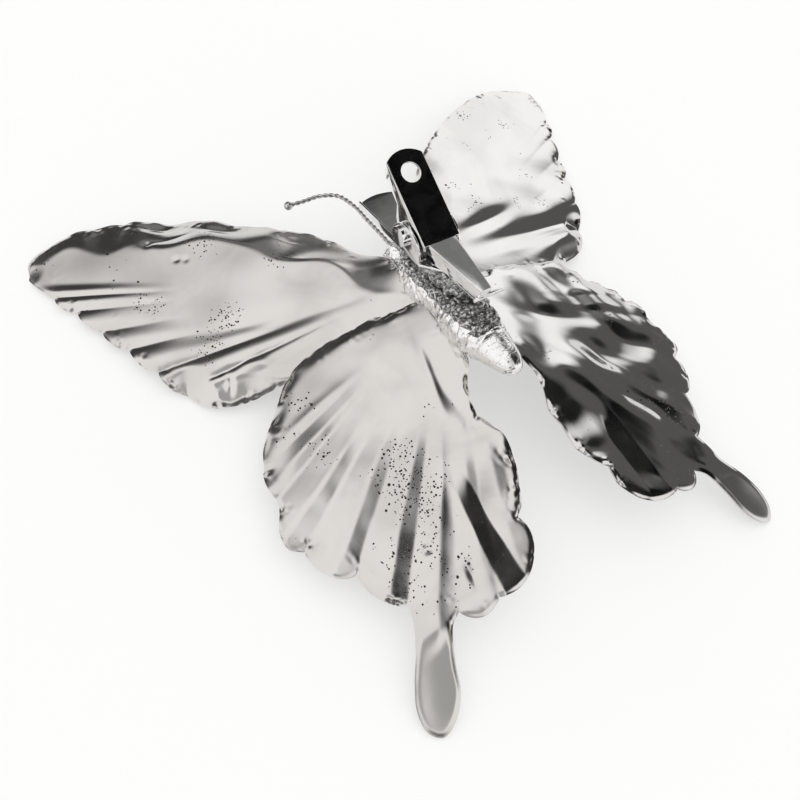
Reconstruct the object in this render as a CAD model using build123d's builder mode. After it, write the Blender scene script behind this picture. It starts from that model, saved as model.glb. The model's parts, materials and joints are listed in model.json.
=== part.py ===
"""Butterfly hair clip: four pressed wing sheets on a cast body, with an alligator clip under it.

Units are millimetres. +X is the wearer's right wing, +Y is towards the head and +Z is the clip side.
The wings are drawn level. The body and its clip are drawn along +Y and then tilted nose down, which
is how the ornament lies on a table on its wing tips and tails with the clip uppermost.
"""

import os
from math import cos, exp, radians, sin

from build123d import *

# ---------------------------------------------------------------- driving sizes
# Wings
SHEET = 0.4                # thickness of a wing sheet
ROOT_LEVEL = -2.1          # height of the wing plane on the body's middle plane
WING_DROP = 0.275          # fall of the wing plane for each millimetre outwards
WING_RISE = 0.068          # rise of the wing plane for each millimetre towards the head
OVERLAP_LIFT = 0.9         # hindwing above forewing where the two overlap
HIND_LIFT = 1.6            # further height that the hindwing gains towards its tail
HIND_LIFT_LENGTH = 14.0    # length over which it gains it
TAIL_DROOP = 0.018         # curl of the tail towards the table
TAIL_START = -48.0         # where that curl begins
PLEAT_DEPTH = 0.45         # half height of the radial pleats at the margin
FORE_PLEAT = 5.6           # degrees from pleat to pleat
HIND_PLEAT = 9.0
FORE_HUB = (0.0, 8.0)      # point that the forewing's pleats fan out from
HIND_HUB = (0.0, 2.0)      # point that the hindwing's pleats fan out from
LAP_FRONT = 6.0            # front of the lap of hindwing over forewing
FORE_NOTCHES = [(61.0, 51.2), (58.3, 41.6), (55.7, 36.8), (53.4, 30.5), (50.7, 24.6), (48.2, 17.8),
                (45.5, 12.0)]
FORE_LOBE = 0.9            # height of the lobe between two notches
ROOT_X = 2.5               # inner end of every wing, inside the body

# Body
BODY_TILT = 14.9           # nose-down tilt of the body between the wings
BODY_RADIUS = 4.4
BODY_FRONT = 19.6          # front of the head
BODY_REAR = -19.6          # end of the abdomen
HEAD_RADIUS = 2.7
NECK = (2.2, 14.2)         # radius and place of the neck
WAIST = (3.1, 0.6)         # between thorax and abdomen
ABDOMEN_TAPER = (2.8, -15.0)
BACKING_SEAT = 2.6         # height of the flat that the underside backing lies on
BACKING_THICKNESS = 1.4
BACKING_LENGTH = 25.0
BACKING_WIDTH = 7.4
BACKING_CENTRE = 1.0       # middle of the backing along the body
SOLDER_LENGTH = 15.0
SOLDER_WIDTH = 4.6
SOLDER_CENTRE = 3.5        # middle of the solder under the clip, along the body

# Antennae
ANTENNA_WIRE = 0.9
ANTENNA_TIP = 1.8
ANTENNA_BEND = 5.0
# The left antenna is given as seen in a mirror.
LEFT_ANTENNA = [(1.1, 16.4, 1.4), (2.0, 25.7, 3.4), (2.3, 34.6, 4.2), (13.0, 36.2, 4.0)]
RIGHT_ANTENNA = [(1.1, 16.4, 1.4), (6.6, 23.6, 5.3), (11.5, 26.2, 5.9)]

# Clip, shared by its two halves
CLIP_SHEET = 0.4
PIVOT_Y = 9.1
PIVOT_Z = 10.7             # the base plate and the bend follow this height
EAR_LIFT = 0.35            # between the lever's ears and the base plate
BOSS_RADIUS = 1.87
BOSS_CLEARANCE = 0.05      # radial play of a boss in its ear
BOSS_STANDOUT = 0.8        # how far a boss stands out of the outer ear
EAR_GAP = 0.35             # play between an inner and an outer ear
LEVER_WIDTH = 7.1

# Clip base
BASE_HANDLE_END = 23.9     # corner of the base's handle
HANDLE_ROUND = 1.4         # height of the rounded end of either handle
BASE_FLANGE = 0.9
BASE_EAR_FRONT = 3.7
BASE_EAR_BACK = 12.2
BASE_EAR_CROWN = [(11.3, 3.8), (8.0, 5.3), (4.9, 4.2)]  # along the clip, and height over the base plate
BASE_JAW_END = -9.05
BASE_JAW_WIDTH = 3.0
LIP_HEIGHT = 0.3
LIP_WIDTH = 6.2
LIP_OFFSET = 1.3           # the lip stands off the middle of the jaw

# Clip lever
BEND_Y = 3.1               # bend between the lever's handle and jaw
BEND_RISE = 1.0            # of the bend over the pivot
HANDLE_ANGLE = 38.4
HANDLE_LENGTH = 15.3       # from the bend to the handle's corners
HANDLE_FLANGE = 2.2
FLANGE_SLANT = 0.9         # how far the flange's end leans back
FLANGE_ROOT = 9.0          # from the bend to where the flange widens into the ear
HANDLE_HOLE_RADIUS = 1.775
HANDLE_HOLE_PLACE = 12.6   # from the bend to the hole's centre
LEVER_EAR_RADIUS = 2.35
JAW_LENGTH = 12.75
JAW_ANGLE = 6.9            # fall of the lever's jaw towards its tip
JAW_ROOT_WIDTH = 5.4
JAW_TIP_WIDTH = 2.0
JAW_LAP = 0.35             # how far the jaw's plate runs under the handle's at the bend
JAW_DEPTH = 5.0            # the walls are drawn this deep and cut off over the base plate
JAW_GAP = 0.08             # between the jaw's walls and the base's lip when the clip is shut

# Spring
SPRING_WIRE = 0.55
SPRING_RADIUS = 1.5        # mean radius of the coil
SPRING_TURNS = 5.5         # half a turn more than whole, so one leg starts above and one below
SPRING_PITCH = 0.75
LEG_CLEARANCE = 0.08       # between a leg and the plate that it presses on

# ---------------------------------------------------------------- worked-out sizes
LEVER_HALF = LEVER_WIDTH / 2
BASE_TOP = PIVOT_Z - EAR_LIFT - LEVER_EAR_RADIUS  # upper face of the base plate
BEND_Z = PIVOT_Z + BEND_RISE
BASE_HALF = LEVER_HALF + EAR_GAP + CLIP_SHEET
BACKING_TOP = BACKING_SEAT + BACKING_THICKNESS
SOLDER_HEIGHT = BASE_TOP - CLIP_SHEET - BACKING_TOP
HANDLE_DIR = Vector(0, cos(radians(HANDLE_ANGLE)), sin(radians(HANDLE_ANGLE)))
HANDLE_UP = Vector(0, -HANDLE_DIR.Z, HANDLE_DIR.Y)
JAW_DIR = Vector(0, -cos(radians(JAW_ANGLE)), -sin(radians(JAW_ANGLE)))
JAW_UP = Vector(0, JAW_DIR.Z, -JAW_DIR.Y)
BEND = Vector(0, BEND_Y, BEND_Z)

pieces = []


def keep(builder, label):
    """Label a finished piece and list it for writing."""
    builder.part.label = label
    pieces.append(builder.part)


# ---------------------------------------------------------------- wings
def wing_plane(x, y):
    """Height of the plane that both wings of a side follow."""
    return ROOT_LEVEL - WING_DROP * x + WING_RISE * y


def hindwing_height(x, y):
    """Height of the hindwing's lower face, which lies over the forewing's rear margin."""
    behind = max(LAP_FRONT - y, 0.0)
    lift = OVERLAP_LIFT + HIND_LIFT * (1 - exp(-behind / HIND_LIFT_LENGTH))
    droop = TAIL_DROOP * max(TAIL_START - y, 0.0) ** 2
    return wing_plane(x, y) + lift - droop


def pleated_sheet(height, hub, rings, flat_before, pleated, flat_after):
    """Closed solid of a pleated sheet that fans out from a hub in straight folds.

    rings are the distances from the hub at which the folds may change slope. The folds stand at the
    angles in pleated, alternately high and low, and the sheet is plain at the angles on either side.
    """
    angles = flat_before + pleated + flat_after
    first = len(flat_before)

    def corner(ring, k):
        angle = radians(angles[k])
        x = hub[0] + ring * cos(angle)
        y = hub[1] + ring * sin(angle)
        fold = (-1) ** k * PLEAT_DEPTH * ring / rings[-1] if first <= k < first + len(pleated) else 0.0
        return Vector(x, y, height(x, y) + fold)

    centre = Vector(hub[0], hub[1], height(*hub))
    lines = [[centre] + [corner(ring, k) for ring in rings] for k in range(len(angles))]
    triangles = []
    for near, far in zip(lines, lines[1:]):
        triangles.append((centre, near[1], far[1]))
        for r in range(1, len(rings)):
            triangles.append((near[r], near[r + 1], far[r + 1]))
            triangles.append((near[r], far[r + 1], far[r]))
    rim = lines[0] + [line[-1] for line in lines[1:]] + lines[-1][-2::-1]
    up = Vector(0, 0, SHEET)
    faces = []
    for triangle in triangles:
        faces.append(Face(Wire.make_polygon(triangle)))
        faces.append(Face(Wire.make_polygon([point + up for point in triangle])))
    for start, end in zip(rim, rim[1:]):
        faces.append(Face(Wire.make_polygon([start, end, end + up, start + up])))
    return Solid(Shell(faces))


def steps(start, end, step):
    """Evenly spaced angles from start to end."""
    return [start + step * k for k in range(int((end - start) / step) + 1)]


with BuildPart() as forewing_right:
    with BuildSketch(Plane.XY.offset(-30)):
        with BuildLine():
            Spline((ROOT_X, 14.5), (13.0, 31.4), (27.6, 44.3), (44.5, 52.4), FORE_NOTCHES[0])
            for start, end in zip(FORE_NOTCHES, FORE_NOTCHES[1:]):
                SagittaArc(start, end, FORE_LOBE)
            Spline(FORE_NOTCHES[-1], (43.7, 8.6), (40.0, 6.2), (34.3, 4.6))
            Spline((34.3, 4.6), (28.0, 3.6), (16.0, 2.6), (ROOT_X, 2.6))
            Line((ROOT_X, 2.6), (ROOT_X, 14.5))
        make_face()
    extrude(amount=45)
    fore_folds = steps(-12, 40, FORE_PLEAT / 2)
    add(pleated_sheet(wing_plane, FORE_HUB, [40, 80], [-80, -45], fore_folds, [60, 85]), mode=Mode.INTERSECT)
keep(forewing_right, "forewing_right")

with BuildPart() as forewing_left:
    mirror(forewing_right.part, about=Plane.YZ)
keep(forewing_left, "forewing_left")

with BuildPart() as hindwing_right:
    with BuildSketch(Plane.XY.offset(-30)):
        with BuildLine():
            Line((ROOT_X, -10.0), (ROOT_X, 3.4))
            Spline((ROOT_X, 3.4), (12.0, 5.6), (22.0, 6.0), (29.4, 4.4))
            Spline((29.4, 4.4), (34.4, -0.4), (38.8, -4.8), (40.7, -8.6))
            ThreePointArc((40.7, -8.6), (41.6, -11.2), (41.2, -14.4))
            Spline((41.2, -14.4), (42.4, -18.2), (43.9, -21.6), (41.4, -24.4))
            Spline((41.4, -24.4), (41.8, -27.4), (40.0, -30.4), (36.2, -31.9))
            ThreePointArc((36.2, -31.9), (35.7, -36.4), (31.5, -40.2))
            Spline((31.5, -40.2), (33.2, -45.3), (36.9, -51.6), (38.2, -56.4), (36.6, -59.1), (33.3, -57.9),
                   (30.9, -54.6), (28.4, -48.3), (25.6, -45.2))
            ThreePointArc((25.6, -45.2), (22.4, -48.1), (19.2, -46.6))
            ThreePointArc((19.2, -46.6), (14.4, -46.4), (10.8, -43.8))
            ThreePointArc((10.8, -43.8), (9.4, -40.8), (9.7, -37.6))
            Spline((9.7, -37.6), (7.8, -35.8), (5.4, -30.0), (4.9, -25.6))
            Spline((4.9, -25.6), (6.0, -21.0), (5.6, -14.4), (ROOT_X, -10.0))
        make_face()
    extrude(amount=45)
    hind_folds = steps(-82, -8, HIND_PLEAT / 2)
    add(pleated_sheet(hindwing_height, HIND_HUB, [12, 26, 44, 58, 75], [-95], hind_folds, [10, 40]),
        mode=Mode.INTERSECT)
keep(hindwing_right, "hindwing_right")

with BuildPart() as hindwing_left:
    mirror(hindwing_right.part, about=Plane.YZ)
keep(hindwing_left, "hindwing_left")

# ---------------------------------------------------------------- body
tilt = Location((0, 0, 0), (-BODY_TILT, 0, 0))


def keep_tilted(builder, label):
    """Tilt a finished piece with the body, label it and list it for writing."""
    piece = builder.part.moved(tilt)
    piece.label = label
    pieces.append(piece)


with BuildPart() as body_casting:
    with BuildSketch(Plane.XY):
        with BuildLine():
            Line((0, BODY_REAR), (0, BODY_FRONT))
            Spline((0, BODY_FRONT), (HEAD_RADIUS, BODY_FRONT - HEAD_RADIUS), NECK,
                   tangents=((1, 0), (-0.2, -1)))
            Spline(NECK, (BODY_RADIUS, 7.5), WAIST, tangents=((1, -0.4), (-0.5, -1)))
            Spline(WAIST, (BODY_RADIUS - 0.2, -7.0), ABDOMEN_TAPER, (0, BODY_REAR),
                   tangents=((0.6, -1), (-1, 0)))
        make_face()
    revolve(axis=Axis.Y)
    with BuildSketch(Plane.XY.offset(BACKING_SEAT)):
        with Locations((0, BACKING_CENTRE)):
            SlotOverall(BACKING_LENGTH + 1.0, 2 * BODY_RADIUS + 2.0, rotation=90)
    extrude(amount=BODY_RADIUS, mode=Mode.SUBTRACT)
keep_tilted(body_casting, "body_casting")

with BuildPart() as underside_backing:
    with BuildSketch(Plane.XY.offset(BACKING_SEAT)):
        with Locations((0, BACKING_CENTRE)):
            SlotOverall(BACKING_LENGTH, BACKING_WIDTH, rotation=90)
    extrude(amount=BACKING_THICKNESS)
    fillet(underside_backing.faces().sort_by(Axis.Z)[-1].edges(), BACKING_THICKNESS * 0.6)
keep_tilted(underside_backing, "underside_backing")

with BuildPart() as solder_bed:
    with BuildSketch(Plane.XY.offset(BACKING_TOP)):
        with Locations((0, SOLDER_CENTRE)):
            SlotOverall(SOLDER_LENGTH, SOLDER_WIDTH, rotation=90)
    extrude(amount=SOLDER_HEIGHT)
keep_tilted(solder_bed, "solder_bed")

# ---------------------------------------------------------------- antennae
with BuildPart() as antenna_right:
    with BuildLine() as feeler:
        FilletPolyline(*RIGHT_ANTENNA, radius=ANTENNA_BEND)
    with BuildSketch(Plane(origin=feeler.wire() @ 0, z_dir=feeler.wire() % 0)):
        Circle(ANTENNA_WIRE / 2)
    sweep()
    with Locations(RIGHT_ANTENNA[-1]):
        Sphere(ANTENNA_TIP / 2)
keep_tilted(antenna_right, "antenna_right")

with BuildPart() as antenna_mirrored:
    with BuildLine() as feeler:
        FilletPolyline(*LEFT_ANTENNA, radius=ANTENNA_BEND)
    with BuildSketch(Plane(origin=feeler.wire() @ 0, z_dir=feeler.wire() % 0)):
        Circle(ANTENNA_WIRE / 2)
    sweep()
    with Locations(LEFT_ANTENNA[-1]):
        Sphere(ANTENNA_TIP / 2)

with BuildPart() as antenna_left:
    mirror(antenna_mirrored.part, about=Plane.YZ)
keep_tilted(antenna_left, "antenna_left")

# ---------------------------------------------------------------- clip base
with BuildPart() as clip_base:
    with BuildSketch(Plane.XY.offset(BASE_TOP - CLIP_SHEET)):
        with BuildLine():
            Polyline((BASE_HALF, BASE_HANDLE_END), (BASE_HALF, BASE_EAR_FRONT), (BASE_JAW_WIDTH / 2, 0),
                     (BASE_JAW_WIDTH / 2, BASE_JAW_END), (-BASE_JAW_WIDTH / 2, BASE_JAW_END),
                     (-BASE_JAW_WIDTH / 2, 0), (-BASE_HALF, BASE_EAR_FRONT), (-BASE_HALF, BASE_HANDLE_END))
            ThreePointArc((-BASE_HALF, BASE_HANDLE_END), (0, BASE_HANDLE_END + HANDLE_ROUND),
                          (BASE_HALF, BASE_HANDLE_END))
        make_face()
    extrude(amount=CLIP_SHEET)
    with BuildSketch(Plane.YZ.offset(BASE_HALF - CLIP_SHEET)):
        with BuildLine():
            Polyline((BASE_EAR_FRONT, BASE_TOP - CLIP_SHEET), (BASE_HANDLE_END, BASE_TOP - CLIP_SHEET),
                     (BASE_HANDLE_END, BASE_TOP + BASE_FLANGE), (BASE_EAR_BACK, BASE_TOP + BASE_FLANGE))
            Line((BASE_EAR_FRONT, BASE_TOP - CLIP_SHEET), (BASE_EAR_FRONT, BASE_TOP + BASE_FLANGE))
            Spline((BASE_EAR_BACK, BASE_TOP + BASE_FLANGE),
                   *[(y, BASE_TOP + height) for y, height in BASE_EAR_CROWN],
                   (BASE_EAR_FRONT, BASE_TOP + BASE_FLANGE))
        make_face()
    ears = extrude(amount=CLIP_SHEET)
    mirror(ears, about=Plane.YZ)
    with BuildSketch(Plane.XZ.offset(-BASE_JAW_END)):
        with Locations((LIP_OFFSET, BASE_TOP - CLIP_SHEET)):
            Rectangle(LIP_WIDTH, CLIP_SHEET + LIP_HEIGHT, align=(Align.CENTER, Align.MIN))
    extrude(amount=-CLIP_SHEET)
    with Locations(Plane.YZ.offset(0)):
        with Locations((PIVOT_Y, PIVOT_Z)):
            Hole(BOSS_RADIUS + BOSS_CLEARANCE)
keep_tilted(clip_base, "clip_base")

# ---------------------------------------------------------------- clip lever
handle_plane = Plane(origin=BEND, x_dir=(1, 0, 0), z_dir=HANDLE_UP)
jaw_plane = Plane(origin=BEND, x_dir=(-1, 0, 0), z_dir=JAW_UP)
corner = BEND + HANDLE_DIR * HANDLE_LENGTH
flange_end = corner - HANDLE_UP * HANDLE_FLANGE - HANDLE_DIR * FLANGE_SLANT
flange_root = BEND + HANDLE_DIR * FLANGE_ROOT - HANDLE_UP * (HANDLE_FLANGE + 0.5)
tip = BEND + JAW_DIR * JAW_LENGTH
JAW_FLOOR = BASE_TOP + LIP_HEIGHT + JAW_GAP

with BuildPart() as clip_lever:
    with BuildSketch(handle_plane):
        with BuildLine():
            Polyline((-LEVER_HALF, HANDLE_LENGTH), (-LEVER_HALF, 0), (LEVER_HALF, 0),
                     (LEVER_HALF, HANDLE_LENGTH))
            ThreePointArc((-LEVER_HALF, HANDLE_LENGTH), (0, HANDLE_LENGTH + HANDLE_ROUND),
                          (LEVER_HALF, HANDLE_LENGTH))
        make_face()
        with Locations((0, HANDLE_HOLE_PLACE)):
            Circle(HANDLE_HOLE_RADIUS, mode=Mode.SUBTRACT)
    extrude(amount=-CLIP_SHEET)
    with BuildSketch(Plane.YZ.offset(LEVER_HALF - CLIP_SHEET)):
        with BuildLine():
            Polyline((PIVOT_Y - LEVER_EAR_RADIUS, PIVOT_Z), (BEND_Y + 0.3, PIVOT_Z - 0.2), (BEND_Y, BEND_Z),
                     (corner.Y, corner.Z), (flange_end.Y, flange_end.Z), (flange_root.Y, flange_root.Z),
                     (PIVOT_Y + LEVER_EAR_RADIUS + 0.7, PIVOT_Z + 1.0), (PIVOT_Y + LEVER_EAR_RADIUS, PIVOT_Z))
            ThreePointArc((PIVOT_Y + LEVER_EAR_RADIUS, PIVOT_Z), (PIVOT_Y, PIVOT_Z - LEVER_EAR_RADIUS),
                          (PIVOT_Y - LEVER_EAR_RADIUS, PIVOT_Z))
        make_face()
    inner_ears = extrude(amount=CLIP_SHEET)
    mirror(inner_ears, about=Plane.YZ)
    with BuildPart(mode=Mode.PRIVATE) as jaw:
        with BuildSketch(jaw_plane):
            with BuildLine():
                Polyline((-JAW_ROOT_WIDTH / 2, -JAW_LAP), (JAW_ROOT_WIDTH / 2, -JAW_LAP),
                         (JAW_TIP_WIDTH / 2, JAW_LENGTH), (-JAW_TIP_WIDTH / 2, JAW_LENGTH), close=True)
            make_face()
        extrude(amount=-JAW_DEPTH)
        with BuildSketch(jaw_plane.offset(-CLIP_SHEET)):
            with BuildLine():
                Polyline((-JAW_ROOT_WIDTH / 2 + CLIP_SHEET, -JAW_LAP),
                         (JAW_ROOT_WIDTH / 2 - CLIP_SHEET, -JAW_LAP),
                         (JAW_TIP_WIDTH / 2 - CLIP_SHEET, JAW_LENGTH - CLIP_SHEET),
                         (-JAW_TIP_WIDTH / 2 + CLIP_SHEET, JAW_LENGTH - CLIP_SHEET), close=True)
            make_face()
        extrude(amount=-JAW_DEPTH, mode=Mode.SUBTRACT)
        with Locations((0, 0, JAW_FLOOR)):
            Box(2 * LEVER_WIDTH, 4 * JAW_LENGTH, 2 * JAW_DEPTH, align=(Align.CENTER, Align.CENTER, Align.MAX),
                mode=Mode.SUBTRACT)
    add(jaw.part)
    for side in (1, -1):
        with BuildSketch(Plane.YZ.offset(side * (LEVER_HALF - CLIP_SHEET))):
            with Locations((PIVOT_Y, PIVOT_Z)):
                Circle(BOSS_RADIUS)
        extrude(amount=side * (BASE_HALF + BOSS_STANDOUT - LEVER_HALF + CLIP_SHEET))
        with BuildSketch(Plane.YZ.offset(side * (LEVER_HALF - CLIP_SHEET))):
            with Locations((PIVOT_Y, PIVOT_Z)):
                Circle(BOSS_RADIUS - CLIP_SHEET)
        extrude(amount=side * (BASE_HALF + BOSS_STANDOUT - LEVER_HALF), mode=Mode.SUBTRACT)
keep_tilted(clip_lever, "clip_lever")

# ---------------------------------------------------------------- spring
COIL_LENGTH = SPRING_TURNS * SPRING_PITCH
LEVER_LEG_Y = PIVOT_Y + 3.9
LEVER_LEG_Z = (BEND_Z + (LEVER_LEG_Y - BEND_Y) * HANDLE_DIR.Z / HANDLE_DIR.Y
               - (CLIP_SHEET + SPRING_WIRE / 2 + LEG_CLEARANCE) / HANDLE_DIR.Y)
BASE_LEG_Y = PIVOT_Y + 7.5
BASE_LEG_Z = BASE_TOP + SPRING_WIRE / 2 + LEG_CLEARANCE
with BuildPart() as clip_spring:
    with BuildLine():
        coil = Helix(SPRING_PITCH, COIL_LENGTH, SPRING_RADIUS, center=(-COIL_LENGTH / 2, PIVOT_Y, PIVOT_Z),
                     direction=(1, 0, 0))
    with BuildSketch(Plane(origin=coil @ 0, z_dir=coil % 0)):
        Circle(SPRING_WIRE / 2)
    sweep(is_frenet=True)
    for start, leg_y, leg_z in ((coil @ 0, LEVER_LEG_Y, LEVER_LEG_Z), (coil @ 1, BASE_LEG_Y, BASE_LEG_Z)):
        end = Vector(start.X, leg_y, leg_z)
        with BuildLine() as leg:
            Line(start, end)
        with BuildSketch(Plane(origin=start, z_dir=end - start)):
            Circle(SPRING_WIRE / 2)
        sweep(path=leg.wire())
        with Locations(start, end):
            Sphere(SPRING_WIRE / 2)
keep_tilted(clip_spring, "clip_spring")

# ---------------------------------------------------------------- settle and write
boxes = [piece.bounding_box() for piece in pieces]
front = max(box.max.Y for box in boxes)
rear = min(box.min.Y for box in boxes)
lowest = min(box.min.Z for box in boxes)
settle = Location((0, -(front + rear) / 2, -lowest))
pivot = (settle * tilt * Location((0, PIVOT_Y, PIVOT_Z))).position
hole = (settle * tilt * Location(BEND + HANDLE_DIR * HANDLE_HOLE_PLACE)).position
print("settle", settle.position, "pivot", pivot, "handle hole", hole)
os.makedirs("parts", exist_ok=True)
for piece in pieces:
    export_step(piece.moved(settle), f"parts/{piece.label}.step")
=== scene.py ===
"""Looks of a butterfly hair ornament with an alligator clip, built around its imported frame.

The ornament lies on its wing tips and tails with the clip uppermost. Shapes are worked out in
millimetres in two spaces: the level space of the wings, and the space of the body and its clip,
which is tilted nose down between the wings. Space turns both into the frame's metres.
"""

import json
import logging
import math
from dataclasses import dataclass, field
from enum import Enum

import bmesh
import bpy
import numpy as np
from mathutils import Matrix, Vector, geometry


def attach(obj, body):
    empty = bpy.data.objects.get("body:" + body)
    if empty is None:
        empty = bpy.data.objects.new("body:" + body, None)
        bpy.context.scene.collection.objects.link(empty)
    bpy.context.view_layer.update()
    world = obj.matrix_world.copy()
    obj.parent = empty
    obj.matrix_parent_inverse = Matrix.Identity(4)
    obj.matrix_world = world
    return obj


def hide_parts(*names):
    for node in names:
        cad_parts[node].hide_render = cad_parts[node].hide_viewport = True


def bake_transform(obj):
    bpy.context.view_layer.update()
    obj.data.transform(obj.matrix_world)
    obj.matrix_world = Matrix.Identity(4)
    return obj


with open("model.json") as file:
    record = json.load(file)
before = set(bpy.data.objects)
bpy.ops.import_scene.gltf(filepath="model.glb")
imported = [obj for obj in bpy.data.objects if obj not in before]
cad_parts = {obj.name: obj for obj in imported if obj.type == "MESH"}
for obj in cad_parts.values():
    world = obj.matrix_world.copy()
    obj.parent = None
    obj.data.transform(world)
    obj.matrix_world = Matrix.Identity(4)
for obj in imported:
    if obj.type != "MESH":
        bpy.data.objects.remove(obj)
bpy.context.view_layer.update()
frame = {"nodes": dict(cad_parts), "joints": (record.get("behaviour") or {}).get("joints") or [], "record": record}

log = logging.getLogger("hair_clip")
MM = 0.001
Point2 = tuple[float, float]
Point3 = tuple[float, float, float]


# ---------------------------------------------------------------- spaces
class Side(Enum):
    """Which wing or antenna of a pair a piece is."""

    LEFT = -1
    RIGHT = 1

    @property
    def label(self) -> str:
        """Name of the side in lower case."""
        return self.name.lower()


class Space:
    """Places millimetre shapes in the frame, from its hinge and its jaw mount."""

    HINGE = (9.1, 10.7)

    def __init__(self) -> None:
        """Reads the tilt from the jaw's direction and the offset from the hinge's place."""
        mounts = {mount["name"]: mount for mount in frame["record"]["mounts"]}
        axis = mounts["jaw_bite"]["axis"]
        self.tilt = math.atan2(axis[2], -axis[1])
        self.hinge = np.array(frame["joints"][0]["pos_m"]) / MM
        y, z = self._turn(np.array(self.HINGE[0]), np.array(self.HINGE[1]))
        self.offset = np.array([0.0, self.hinge[1] - float(y), self.hinge[2] - float(z)])

    def _turn(self, y: np.ndarray, z: np.ndarray) -> tuple[np.ndarray, np.ndarray]:
        """Turns body heights and lengths into level ones."""
        cos, sin = math.cos(self.tilt), math.sin(self.tilt)
        return y * cos + z * sin, z * cos - y * sin

    def level(self, points: np.ndarray) -> np.ndarray:
        """Metres for points of the wings' level space.

        Args:
            points: An array of x, y, z rows in millimetres.

        Returns:
            The same rows in metres in the frame.
        """
        return (np.asarray(points, float) + self.offset) * MM

    def body(self, points: np.ndarray) -> np.ndarray:
        """Metres for points of the body's tilted space.

        Args:
            points: An array of x, y, z rows in millimetres.

        Returns:
            The same rows in metres in the frame.
        """
        rows = np.asarray(points, float)
        y, z = self._turn(rows[:, 1], rows[:, 2])
        return self.level(np.column_stack([rows[:, 0], y, z]))


space = Space()


# ---------------------------------------------------------------- shape helpers
def smoothstep(low: float, high: float, value: np.ndarray) -> np.ndarray:
    """Soft step from 0 at low to 1 at high."""
    t = np.clip((value - low) / (high - low), 0.0, 1.0)
    return t * t * (3.0 - 2.0 * t)


def smooth_path(points: list[Point2] | list[Point3], step: float) -> np.ndarray:
    """Smooth curve through points, sampled evenly in each span.

    Args:
        points: The points that the curve passes.
        step: Greatest distance between two samples.

    Returns:
        The samples, with the first and last point among them.
    """
    p = np.array(points, float)
    p = np.vstack([2 * p[0] - p[1], p, 2 * p[-1] - p[-2]])
    out = []
    for a, b, c, d in zip(p, p[1:], p[2:], p[3:]):
        count = max(int(np.ceil(np.linalg.norm(c - b) / step)), 1)
        t = np.linspace(0.0, 1.0, count, endpoint=False)[:, None]
        out.append(0.5 * (2 * b + (c - a) * t + (2 * a - 5 * b + 4 * c - d) * t**2
                          + (3 * b - a - 3 * c + d) * t**3))
    return np.vstack(out + [p[-2:-1]])


def lobe(start: Point2, end: Point2, rise: float, step: float, lean: float = 0.0) -> np.ndarray:
    """Scallop between two notches of a margin, bulging to the left of its course.

    Args:
        start: First notch.
        end: Second notch.
        rise: Height of the scallop.
        step: Greatest distance between two samples.
        lean: Shift of the crown towards the second notch, from -1 to 1.

    Returns:
        The samples, without the second notch.
    """
    a, b = np.array(start, float), np.array(end, float)
    run = b - a
    normal = np.array([-run[1], run[0]]) / np.linalg.norm(run)
    t = np.linspace(0.0, 1.0, max(int(np.linalg.norm(run) / step), 4), endpoint=False)[:, None]
    crown = np.sin(np.pi * t ** (1.0 - 0.35 * lean)) ** 0.75
    return a + run * t + normal * rise * crown


def edge_distance(points: np.ndarray, line: np.ndarray, closed: bool) -> np.ndarray:
    """Distance from each point to a polyline.

    Args:
        points: Rows of x, y.
        line: Rows of x, y along the polyline.
        closed: Whether the last point joins the first.

    Returns:
        One distance for each point.
    """
    ends = np.roll(line, -1, axis=0) if closed else line[1:]
    starts = line if closed else line[:-1]
    best = np.full(len(points), 1e9)
    for a, b in zip(starts, ends):
        run = b - a
        t = np.clip(((points - a) @ run) / max(float(run @ run), 1e-12), 0.0, 1.0)
        best = np.minimum(best, np.hypot(*(points - a - t[:, None] * run).T))
    return best


def inside(points: np.ndarray, ring: np.ndarray) -> np.ndarray:
    """Whether each point lies inside a closed ring.

    Args:
        points: Rows of x, y.
        ring: Rows of x, y round the ring.

    Returns:
        A mask with one value for each point.
    """
    mask = np.zeros(len(points), bool)
    for a, b in zip(ring, np.roll(ring, -1, axis=0)):
        if a[1] == b[1]:
            continue
        crosses = (a[1] > points[:, 1]) != (b[1] > points[:, 1])
        x = a[0] + (points[:, 1] - a[1]) * (b[0] - a[0]) / (b[1] - a[1])
        mask ^= crosses & (points[:, 0] < x)
    return mask


class Ripple:
    """Smooth hand-hammered unevenness, a fixed sum of seeded waves."""

    def __init__(self, seed: int, length: float, waves: int = 28) -> None:
        """Draws the waves.

        Args:
            seed: Seed of the draw.
            length: Typical length of a wave in millimetres.
            waves: Number of waves.
        """
        rng = np.random.default_rng(seed)
        turn = rng.uniform(0.0, 2 * np.pi, waves)
        rate = 2 * np.pi / (length * rng.uniform(0.7, 1.5, waves))
        self.rates = np.column_stack([np.cos(turn) * rate, np.sin(turn) * rate,
                                      rate * rng.uniform(-1, 1, waves)])
        self.phase = rng.uniform(0.0, 2 * np.pi, waves)
        self.gain = math.sqrt(2.0 / waves)

    def at(self, points: np.ndarray) -> np.ndarray:
        """Height of the unevenness, about one millimetre at its usual crests.

        Args:
            points: Rows of x, y or x, y, z in millimetres.

        Returns:
            One height for each row.
        """
        return self.gain * np.sin(points @ self.rates[:, : points.shape[1]].T + self.phase).sum(axis=1)


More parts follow.
